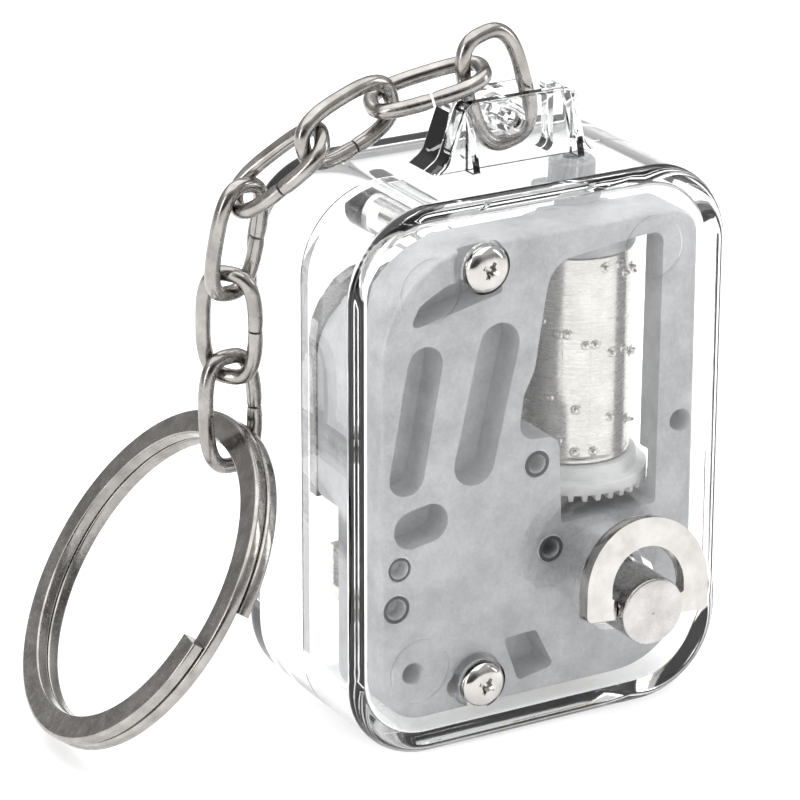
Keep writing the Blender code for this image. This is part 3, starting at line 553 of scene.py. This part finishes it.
front_open, back_open = PARTING_Y - FIT, PARTING_Y + FIT
front_steps = [
    ("+", plate(LUG_CORNERS, front_open, -2.75, 0.25)),
    ("-", plate(case_corners(WALL), front_open + 1, FRONT_Y + WALL, 0.45, 14, 3)),
    ("+", gusset(-3.4)),
    ("+", gusset(5.4)),
    ("-", slot_for_link(PARTING_Y - SLOT_HALF, PARTING_Y + 2)),
    ("+", rod((LUG_X, -1.6, POST_Z), "Y", POST_R, 2.4, 40)),
    ("-", rod((LUG_X, 0, POST_Z), "Y", POST_HOLE_R, 14, 32)),
    ("-", rod((SHAFT_X, FRONT_Y, SHAFT_Z), "Y", SHAFT_OPENING_R, 6, 72)),
]
for x, z in CASE_SCREWS:
    front_steps.append(("-", rod((x, FRONT_Y, z), "Y", SCREW_HOLE_R, 6)))
    front_steps.append(("-", rod((x, FRONT_Y, z), "Y", COUNTERBORE_R, 1.0, 56)))
for x, z in EJECTOR_MARKS:
    front_steps.append(("+", ejector_mark(x, z)))
front_case = shape("front_case", plate(case_corners(0), front_open, FRONT_Y, 0.9, 18, 6), *front_steps)
finish_piece(front_case, "clear_plastic", CASE, ["front_shell"], smooth=28)

back_steps = [
    ("+", plate(LUG_CORNERS, back_open, 1.2, 0.25)),
    ("-", plate(case_corners(WALL), back_open - 1, BACK_Y - WALL, 1.7, 14, 5)),
    ("-", slot_for_link(PARTING_Y - 2, PARTING_Y + SLOT_HALF)),
]
screw_post = [(0, back_open), (1.6, back_open), (1.75, back_open + 0.15), (1.9, 7.6), (0, 7.6)]
for x, z in CASE_SCREWS:
    back_steps.append(("+", turned(screw_post, (x, 0, z), "Y", 40)))
for x, z in CASE_SCREWS:
    back_steps.append(("-", rod((x, 1.5, z), "Y", 0.74, 7.0, 28)))
back_steps.append(("-", rod((LUG_X, -0.2, POST_Z), "Y", POST_R + FIT, 2.5, 40)))
back_steps.append(("-", rod((LUG_X, PARTING_Y, POST_Z), "Y", POST_HOLE_R, 12, 32)))
back_case = shape("back_case", plate(case_corners(0), back_open, BACK_Y, 2.2, 18, 8), *back_steps)
finish_piece(back_case, "clear_plastic", CASE, ["back_shell"], smooth=28)


# %% [markdown]
# ## Bedplate
#
# One zinc die casting holds everything in line. Its face shows a window for the cylinder, two long slots
# where the comb's screws end, a few shallow pockets that save metal, and screw holes with small collars.
# Cast edges are never sharp, so the finished shape gets a small bevel all round.

# %% Bedplate
RECESS_FLOOR = PLATE_FRONT + 2.6
SLOTS = (((-9.35, 30.2), (-10.85, 21.9), 1.45), ((-3.2, 30.7), (-5.2, 21.9), 1.7),
         ((-10.4, 17.75), (-8.9, 18.0), 1.5))
IN_RECESS = ((-9.9, 30.9, 0.75), (-11.3, 22.6, 0.75), (-4.1, 30.9, 0.75), (-6.1, 23.2, 0.75))
IN_FACE = ((12.5, 21.9, 0.85), (-10.3, 6.3, 0.85), (-6.6, 4.5, 0.75))
THROUGH_COLLARS = ((0.05, 20.9, 0.62, 1.15), (1.35, 13.9, 0.62, 1.15))
BLIND_COLLARS = ((-11.5, 14.9, 0.62, 1.05), (-11.75, 11.8, 0.7, 1.2))
WINDOW = [(2.27, 15.7, 0.3), (10.5, 15.7, 0.3), (10.55, 24, 0), (10.7, 37.15, 0.9), (8.2, 37.0, 3),
          (1.15, 36.2, 2.2), (0.6, 33.3, 1.5), (-0.2, 28.2, 3), (-1.1, 26.4, 1.5), (-1.55, 22.9, 1.35),
          (1.98, 22.75, 1.1)]
COMB_LAND = [(-12.75, 17.6, 1.4), (-3.2, 17.6, 1.0), (-3.2, 33.6, 1.0), (-12.75, 33.6, 4.6)]
UPPER_BEARING = [(CYL_X - 2.3, 37.0, 0.3), (CYL_X + 2.3, 37.0, 0.3), (CYL_X + 2.3, 38.58, 0.3),
                 (CYL_X - 2.3, 38.58, 0.3)]
UPPER_POCKET = [(-10.8, 33.0, 0.5), (-3.0, 34.7, 0.4), (-3.0, 35.4, 0.4), (-5.6, 36.15, 0.8),
                (-7.6, 36.0, 1.0), (-9.8, 34.8, 0.6)]
LOWER_POCKET = [(-2.6, 7.5, 0.4), (-1.3, 3.8, 0.4), (1.8, 4.4, 0.4), (0.2, 7.6, 0.4)]
PLATE_CORNERS = [(-12.9, 2.6, 3.5), (13.7, 2.6, 6.4), (13.7, 38.6, 2.2), (-12.9, 38.6, 8.0)]
WHEEL_X, AXLE_HOLE_R = SHAFT_X - 8.396, 0.7  # where the governor wheel turns, and the cylinder's axle


def capsule(start, end, radius):
    along = (Vector(end) - Vector(start)).normalized()
    side = Vector((-along.y, along.x))
    points = [Vector(start) - along * radius - side * radius, Vector(end) + along * radius - side * radius,
              Vector(end) + along * radius + side * radius, Vector(start) - along * radius + side * radius]
    return [(p.x, p.y, radius * 0.999) for p in points]


def threaded_hole(x, z, radius, y0, y1):
    """Cutter for a tapped hole: its grooves are rings a quarter of a millimetre apart."""
    profile, y = [(0, y0), (radius + 0.12, y0), (radius + 0.12, y0 + 0.05)], y0 + 0.16
    while y < y1 - 0.3:
        profile += [(radius - 0.02, y), (radius + 0.11, y + 0.13)]
        y += 0.26
    return turned(profile + [(radius, y1), (0, y1)], (x, 0, z), "Y", 28)


def collar(x, z, radius):
    profile = [(0, PLATE_FRONT + 0.5), (0, PLATE_FRONT - 0.1), (radius - 0.12, PLATE_FRONT - 0.1),
               (radius, PLATE_FRONT + 0.02), (radius, PLATE_FRONT + 0.5)]
    return turned(profile, (x, 0, z), "Y", 40, closed=True)


def collar_hole(x, z, radius, depth):
    """Cutter for a plain hole with a countersunk mouth."""
    profile = [(0, depth), (radius, depth), (radius, PLATE_FRONT + 0.1), (radius + 0.16, PLATE_FRONT - 0.2),
               (0, PLATE_FRONT - 0.2)]
    return turned(profile, (x, 0, z), "Y", 32)


def case_screw_hole(x, z):
    """Cutter for a screw's hole with a wide, shallow seat round it."""
    seat, hole = 2.15, 0.8
    profile = [(0, PLATE_FRONT - 0.4), (seat, PLATE_FRONT - 0.4), (seat, PLATE_FRONT + 0.5),
               (hole, PLATE_FRONT + 0.55), (hole, 2), (0, 2)]
    return turned(profile, (x, 0, z), "Y", 40)


bed_steps = [
    ("+", plate(COMB_LAND, PLATE_BACK - 1, LAND_BACK, 0.3)),
    ("+", plate(UPPER_BEARING, PLATE_BACK - 1, CYL_Y + 1.9)),
    ("+", rod((CYL_X, CYL_Y, 38.9), "Z", 1.75, 3.4, 48, 0.25)),
    ("-", rod((CYL_X, CYL_Y, 17.75), "Z", 6.0, 3.7, 64)),
    ("-", rod((CYL_X, CYL_Y, 28.2), "Z", 5.05, 17.6, 64)),
    ("-", plate(WINDOW, PLATE_FRONT - 1, PLATE_BACK + 1)),
    ("-", block(10.3, 15.0, -5.0, PLATE_BACK + 1, 16.6, 36.2)),
    ("+", block(CYL_X - 1.7, CYL_X + 1.7, PLATE_BACK - 0.9, CYL_Y + 1.5, 15.12, 15.66)),
    ("-", plate(UPPER_POCKET, PLATE_FRONT - 1, RECESS_FLOOR)),
    ("-", plate(LOWER_POCKET, PLATE_FRONT - 1, RECESS_FLOOR)),
]
for start, end, radius in SLOTS:
    bed_steps.append(("-", plate(capsule(start, end, radius), PLATE_FRONT - 1, RECESS_FLOOR)))
for collars, depth in ((THROUGH_COLLARS, PLATE_BACK + 1), (BLIND_COLLARS, PLATE_FRONT + 1.0)):
    for x, z, hole, outside in collars:
        bed_steps.append(("+", collar(x, z, outside)))
        bed_steps.append(("-", collar_hole(x, z, hole, depth)))
for holes, mouth in ((IN_RECESS, RECESS_FLOOR), (IN_FACE, PLATE_FRONT)):
    for x, z, radius in holes:
        bed_steps.append(("-", threaded_hole(x, z, radius, mouth - 0.05, LAND_BACK + 0.4)))
for x, z in CASE_SCREWS:
    bed_steps.append(("-", case_screw_hole(x, z)))
bed_steps.append(("-", rod((SHAFT_X, PLATE_FRONT, SHAFT_Z), "Y", SHAFT_R + 0.2, 12, 56)))
bed_steps.append(("-", rod((CYL_X, CYL_Y, 28), "Z", AXLE_HOLE_R, 40, 24)))
bed_steps.append(("-", rod((WHEEL_X, 0, SHAFT_Z), "Y", 0.5, 9, 20)))
bed = shape("zinc_bedplate", plate(PLATE_CORNERS, PLATE_BACK, PLATE_FRONT, 0.3, 12, 3), *bed_steps)
finish_piece(bed, "die_cast_zinc", CASE, ["bedplate"], soft_edge=0.07)


# %% [markdown]
# ## Screws
#
# The two long case screws have low pan heads with a cross recess. Each head sits in a shallow
# counterbore of the front shell. The recess is cut, and its arms taper as the driver does.

# %% Case screws
def recess_arm(x, z, face_y, width, depth, turn):
    bm = bmesh.new()
    arm = bmesh.ops.create_cube(bm, size=1.0)["verts"]
    for vert in arm:
        deep = vert.co.y > 0
        vert.co = Vector((vert.co.x * width * (0.9 if deep else 2.2), depth if deep else -depth,
                          vert.co.z * (0.22 if deep else 0.42))) * MM
    bmesh.ops.rotate(bm, cent=(0, 0, 0), matrix=Matrix.Rotation(math.radians(turn), 3, "Y"), verts=arm)
    bmesh.ops.translate(bm, vec=(x * MM, face_y * MM, z * MM), verts=bm.verts)
    return bm


def pan_head_screw(name, x, z, seat_y, length, stands_for):
    head, rise, shank = 1.72, 1.12, 0.66
    profile = [(0, -rise), (0.7, -rise), (1.15, -rise + 0.06), (1.48, -rise + 0.2), (1.66, -rise + 0.42),
               (head, -0.62), (head, -0.05), (head - 0.05, 0), (shank, 0), (shank, 0.8)]
    y = 0.95
    while y < length - 0.9:
        profile += [(shank - 0.16, y), (shank, y + 0.2)]
        y += 0.4
    profile += [(0.2, length - 0.1), (0, length)]
    arms = [("-", recess_arm(x, z, seat_y - rise, 0.9, 0.62, turn)) for turn in (28, 118)]
    centre = turned([(0, -0.3), (0.5, -0.3), (0.28, 0.62), (0, 0.75)], (x, seat_y - rise, z), "Y", 16)
    obj = shape(name, turned(profile, (x, seat_y, z), "Y", 56), *arms, ("-", centre))
    return finish_piece(obj, "nickel_plate", CASE, [stands_for], soft_edge=0.03)


for name, (x, z) in zip(("upper", "lower"), CASE_SCREWS):
    pan_head_screw("pan_screw_" + name, x, z, FRONT_Y + 0.44, 12.7, "case_screw_" + name)


# %% [markdown]
# ## Pinned cylinder
#
# The cylinder is a plated tube. Each note is a hole with a pin driven through it, and the pin leaves a small
# raised collar where it comes out. A zinc cap closes the upper end, and a white crown wheel drives the lower.

# %% Cylinder, cap and crown wheel
NOTES, NOTE_PITCH, FIRST_NOTE_Z, PINS = 18, 0.84, 20.2, 58
CROWN_TEETH = 34


def bmesh_of(obj):
    """Takes an object's mesh back as a bmesh, and removes the object."""
    bm = bmesh.new()
    bm.from_mesh(obj.data)
    bpy.data.objects.remove(obj)
    return bm


def all_pins():
    """Every pin is a short tapering post standing on its collar. A fixed rule spreads them over the notes."""
    profile = [(0, -0.3), (0.42, -0.3), (0.42, -0.01), (0.34, 0.07), (0.24, 0.09), (0.17, 0.06),
               (0.16, 0.3), (0.12, 0.36), (0, 0.36)]
    pins = bmesh.new()
    for i in range(PINS):
        note = (i * 7 + (i * i) % 5) % NOTES
        angle = i * 2 * math.pi / PINS + (i % 3) * 0.05
        one = turned(profile, steps=14)
        out = Matrix.Translation(Vector((CYL_R, 0, FIRST_NOTE_Z + note * NOTE_PITCH)) * MM)
        place = Matrix.Rotation(angle, 4, "Z") @ out
        bmesh.ops.transform(one, matrix=place @ UP_TO["X"], verts=one.verts)
        mesh = bpy.data.meshes.new("pin")
        one.to_mesh(mesh)
        one.free()
        pins.from_mesh(mesh)
        bpy.data.meshes.remove(mesh)
    return pins


def pinned_tube():
    """The tube, with a fine groove near its lower end, and its pins."""
    inner = CYL_R - 0.4
    profile = [(inner, CYL_Z0), (CYL_R - 0.12, CYL_Z0), (CYL_R, CYL_Z0 + 0.12), (CYL_R, CYL_Z0 + 0.5),
               (CYL_R - 0.05, CYL_Z0 + 0.56), (CYL_R, CYL_Z0 + 0.62), (CYL_R, CYL_Z1 - 0.12),
               (CYL_R - 0.12, CYL_Z1), (inner, CYL_Z1)]
    tube = as_object(turned(profile, steps=128, closed=True), "nickel_cylinder")
    joined = shape("nickel_cylinder", bmesh_of(tube), ("+", all_pins()))
    joined.data.transform(Matrix.Translation(Vector((CYL_X, CYL_Y, 0)) * MM))
    return finish_piece(joined, "satin_nickel", "cylinder", ["pinned_cylinder"], smooth=40)


def crown_wheel():
    profile = [(0.66, 16.95), (4.65, 16.95), (4.75, 17.18), (5.6, 17.18), (5.65, 17.24), (5.65, 17.98),
               (5.57, 18.06), (4.95, 18.06), (4.85, 18.16), (4.85, 18.98), (4.75, 19.08), (1.6, 19.08),
               (1.6, 20.1), (0.66, 20.1)]
    bm = turned(profile, steps=96, closed=True)
    teeth = bmesh.new()
    for i in range(CROWN_TEETH):
        verts = bmesh.ops.create_cube(teeth, size=1.0)["verts"]
        for v in verts:
            low = v.co.z < 0
            v.co = Vector((4.7 if v.co.x < 0 else 5.63, v.co.y * (0.32 if low else 0.5),
                           16.74 if low else 17.4)) * MM
        turn = Matrix.Rotation(2 * math.pi * (i + 0.5) / CROWN_TEETH, 3, "Z")
        bmesh.ops.rotate(teeth, cent=(0, 0, 0), matrix=turn, verts=verts)
    obj = shape("white_crown_wheel", bm, ("+", teeth))
    obj.data.transform(Matrix.Translation(Vector((CYL_X, CYL_Y, 0)) * MM))
    return finish_piece(obj, "white_nylon", "cylinder", ["cylinder_gear"], soft_edge=0.03)


def cylinder_cap():
    inner = CYL_R - 0.46
    profile = [(0.66, 34.3), (inner, 34.3), (inner, 35.36), (4.42, 35.36), (4.5, 35.44), (4.5, 36.46),
               (4.38, 36.6), (1.5, 36.6), (1.4, 36.5), (0.66, 36.5)]
    cap = shape("zinc_cylinder_cap", turned(profile, (CYL_X, CYL_Y, 0), steps=96, closed=True))
    return finish_piece(cap, "die_cast_zinc", "cylinder", ["cylinder_end_cap"])


pinned_tube()
crown_wheel()
cylinder_cap()


# %% [markdown]
# ## Winding shaft and its ring
#
# The shaft is a turned post with a faced-off end. A flat D of pressed steel folds on two pins that are
# formed at its feet and go into the shaft's cross hole.

# %% Shaft and ring
SHAFT_TURN, RING_LEAN = math.radians(6), math.radians(-9)
PIVOT = Matrix.Translation(Vector((SHAFT_X, -12.5, SHAFT_Z)) * MM) @ Matrix.Rotation(SHAFT_TURN, 4, "Y")


def winding_shaft():
    """A faced-off post with a cross hole. Its thinner back end has a groove for the clip."""
    thin = 1.5
    profile = [(0, SHAFT_END_Y + 0.1), (0.16, SHAFT_END_Y + 0.04), (0.3, SHAFT_END_Y), (2.42, SHAFT_END_Y),
               (2.55, SHAFT_END_Y + 0.05), (SHAFT_R, SHAFT_END_Y + 0.2), (SHAFT_R, -2.2), (thin, -2.2),
               (thin, 4.5), (1.2, 4.55), (1.2, 4.95), (thin, 5.0), (thin, 5.1), (1.38, 5.2), (0, 5.2)]
    cross_hole = rod((0, 0, 0), "X", 0.62, 8, 32)
    bmesh.ops.transform(cross_hole, matrix=PIVOT, verts=cross_hole.verts)
    shaft = shape("turned_winding_shaft", turned(profile, (SHAFT_X, 0, SHAFT_Z), "Y", 96), ("-", cross_hole))
    return finish_piece(shaft, "turned_nickel", "winding_key", ["winding_shaft"], soft_edge=0.05)


def arc_of(radius, start, end, count, centre):
    """Points of an arc in the XZ plane round (0, centre), as corners without a radius."""
    turns = [math.radians(start + (end - start) * i / count) for i in range(count + 1)]
    return [(radius * math.cos(turn), centre + radius * math.sin(turn), 0) for turn in turns]


def winding_ring():
    """A flat D, open where it clasps the shaft, with a pin inside each foot."""
    outer, inner, centre, foot, gap, half_thick = 5.3, 3.15, 1.45, -0.7, SHAFT_R + 0.15, 0.55
    corners = [(outer, foot, 0.45), *arc_of(outer, 0, 180, 48, centre), (-outer, foot, 0.45),
               (-gap, foot, 0.3), (-gap, 0.75, 0.1), (-inner, 0.9, 0.1), *arc_of(inner, 180, 0, 40, centre),
               (inner, 0.9, 0.1), (gap, 0.75, 0.1), (gap, foot, 0.3)]
    pins = [("+", rod((x, 0, 0), "X", 0.5, 1.8, 32)) for x in (-2.3, 2.3)]
    obj = shape("pressed_winding_ring", plate(corners, -half_thick, half_thick, segments=5), *pins)
    obj.data.transform(PIVOT @ Matrix.Rotation(RING_LEAN, 4, "X"))
    return finish_piece(obj, "nickel_plate", "winding_ring", ["key_ring_bail"], soft_edge=0.14, steps=3,
                        smooth=30)


winding_shaft()
winding_ring()


# %% [markdown]
# ## Chain and split ring
#
# Each link is bent from round wire, and its ends meet in a fine gap on one side. The ring is one flat strip
# wound nearly twice round, with rounded edges. The chain hangs over the case's shoulder.

# %% Chain
WIRE_R, OVAL = 0.58, 0.7
FIRST_LINK_L, FIRST_LINK_W, LINK_L, LINK_W = 8.5, 4.7, 8.4, 4.1  # to the middle of the wire
LINK_STEP = 1.56  # from one link's end wire to the next one's
RING_STEP = 2.5  # from the last link's end back to where the ring passes through it
ROUTE = ((-7.8, 0.9, 47.4), (-12.8, 0.45, 45.9), (-18.2, 2.65, 41.55), (-19.2, 4.35, 34.8),
         (-18.7, 4.8, 28.1), (-18.5, 4.75, 21.0))
ROLLS = (56.5, -36.0, 49.0, -48.0, 19.0, -32.0)
FACING = Vector((-0.46, -0.81, 0.36))  # the way that a link's flat side looks before it is rolled


def wire_link(name, start, end, across, width, body, stands_for):
    """Round wire bent to an oval. A hair-wide gap shows where its ends meet, halfway along one side."""
    along = (end - start).normalized()
    flat_normal = along.cross(across).normalized()
    middle, half = (start + end) / 2, (end - start).length / 2
    points, steps, half_gap = [], 96, 0.004
    for i in range(steps + 1):
        turn = -math.pi / 2 + half_gap + (2 * math.pi - 2 * half_gap) * i / steps
        c, s = math.cos(turn), math.sin(turn)
        points.append(middle + along * math.copysign(abs(c) ** OVAL, c) * half
                      + across * math.copysign(abs(s) ** OVAL, s) * width / 2)
    bm, rings, sides = bmesh.new(), [], 24
    for i, point in enumerate(points):
        heading = (points[min(i + 1, len(points) - 1)] - points[max(i - 1, 0)]).normalized()
        out = heading.cross(flat_normal).normalized()
        radius = WIRE_R - (0.05 if i in (0, len(points) - 1) else 0)
        rings.append([bm.verts.new((point + (out * math.cos(t) + flat_normal * math.sin(t)) * radius) * MM)
                      for t in (2 * math.pi * j / sides for j in range(sides))])
    for a, b in zip(rings, rings[1:]):
        for j in range(sides):
            bm.faces.new((a[j], a[(j + 1) % sides], b[(j + 1) % sides], b[j]))
    bm.faces.new(rings[0])
    bm.faces.new(rings[-1])
    bmesh.ops.recalc_face_normals(bm, faces=bm.faces)
    return finish_piece(as_object(bm, name), "drawn_steel", body, [stands_for], smooth=50)


def across_of(direction, roll):
    flat = direction.cross(FACING).normalized()
    return Matrix.Rotation(math.radians(roll), 3, direction) @ flat


def split_ring(crossing, direction):
    """A flat strip wound nearly twice round. Its corners are rounded, and it ends square."""
    radius, turns, lift, steps, first_angle = 12.4, 1.96, 1.05, 420, -1.4
    normal = Vector((-0.815, 0.08, 0.573)).normalized()
    outward = (-direction - normal * (-direction).dot(normal)).normalized()
    centre, third = crossing - outward * radius, normal.cross(outward)
    section = []
    for cx, cz, a0 in ((0.62, -0.18, -90), (0.62, 0.18, 0), (-0.82, 0.32, 90), (-0.82, -0.32, 180)):
        bend = 0.32 if cx > 0 else 0.18
        section += [(cx + (0.06 if cx > 0 else 0) + bend * math.cos(math.radians(a0 + 90 * k / 4)),
                     cz + bend * math.sin(math.radians(a0 + 90 * k / 4))) for k in range(5)]
    bm, rings = bmesh.new(), []
    for i in range(steps + 1):
        share = i / steps
        angle = 2 * math.pi * turns * share + first_angle
        radial = outward * math.cos(angle) + third * math.sin(angle)
        shift = lift * (turns * share - turns / 2)
        rings.append([bm.verts.new((centre + radial * (radius + a) + normal * (shift + b)) * MM)
                      for a, b in section])
    count = len(section)
    for a, b in zip(rings, rings[1:]):
        for j in range(count):
            bm.faces.new((a[j], a[(j + 1) % count], b[(j + 1) % count], b[j]))
    bm.faces.new(rings[0])
    bm.faces.new(rings[-1])
    bmesh.ops.recalc_face_normals(bm, faces=bm.faces)
    return finish_piece(as_object(bm, "steel_split_ring"), "drawn_steel", "key_ring", ["split_key_ring"],
                        smooth=40)


def hang_chain():
    tilt, below_post = math.radians(16), 1.92
    up_link = Vector((-math.sin(tilt), 0, math.cos(tilt)))
    side = Vector((math.cos(tilt), 0, math.sin(tilt)))
    foot = Vector((LUG_X, PARTING_Y, POST_Z)) - up_link * below_post
    wire_link("wire_link_1", foot, foot + up_link * FIRST_LINK_L, side, FIRST_LINK_W, "link_1",
              "chain_link_1")
    shoulder = FIRST_LINK_W / 2
    before, end = None, foot + up_link * (FIRST_LINK_L - shoulder) - side * shoulder
    for index, (target, roll) in enumerate(zip(ROUTE, ROLLS), 2):
        direction = (Vector(target) - end).normalized()
        pull = direction if before is None else (direction + before).normalized()
        start = end - pull * LINK_STEP
        end = start + direction * LINK_L
        wire_link(f"wire_link_{index}", start, end, across_of(direction, roll), LINK_W, f"link_{index}",
                  f"chain_link_{index}")
        before = direction
    split_ring(end - direction * RING_STEP, direction)


hang_chain()


# %% [markdown]
# ## Movement behind the bedplate
#
# The comb, spring barrel, gears and air brake keep the shape that the CAD model gives them. They are seen
# only through the window and the back of the case, so each one gets its own finish here.

# %% Finishes of the CAD pieces that stay
KEEPS = {
    "comb": "spring_steel", "comb_screw_upper": "nickel_plate", "comb_screw_lower": "nickel_plate",
    "governor_screw_upper": "spring_steel", "governor_screw_lower": "spring_steel",
    "spring_barrel": "turned_nickel", "barrel_gear": "brass", "mainspring": "spring_steel",
    "clutch_spring": "spring_steel", "shaft_clip": "spring_steel",
    "governor_wheel": "white_nylon", "governor_axle": "spring_steel", "endless_screw": "white_nylon",
    "air_brake_fan": "white_nylon", "governor_frame": "satin_nickel", "cylinder_axle": "spring_steel",
}
for node, finish in KEEPS.items():
    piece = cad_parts[node]
    piece.data.materials.clear()
    piece.data.materials.append(FINISH[finish])
print("kept:", ", ".join(KEEPS))
